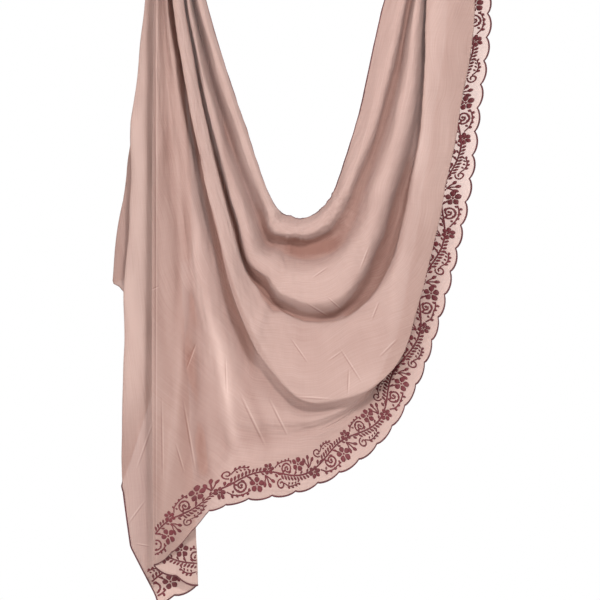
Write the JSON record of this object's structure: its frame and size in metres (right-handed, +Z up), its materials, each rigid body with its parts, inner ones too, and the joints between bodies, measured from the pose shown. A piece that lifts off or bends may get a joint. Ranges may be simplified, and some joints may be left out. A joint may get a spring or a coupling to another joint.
{
  "type": "hijab",
  "caption": "Long rectangular scarf of semi-sheer cloth with a scalloped, embroidered edge, draped in a deep U between two holds with a folded tail.",
  "frame": {"origin": "middle of the left hold, where the cloth is gathered", "axes": "+Z up, the front faces -Y, +X from the left hold to the right hold"},
  "size_m": [0.6096, 0.1053, 1.0932],
  "materials": {
    "cloth": "matte, semi-sheer woven cloth, dusty rose"
  },
  "bodies": {
    "root": {"left_fall": "cloth", "swag": "cloth", "right_fall": "cloth", "tail": "cloth"}
  },
  "joints": []
}
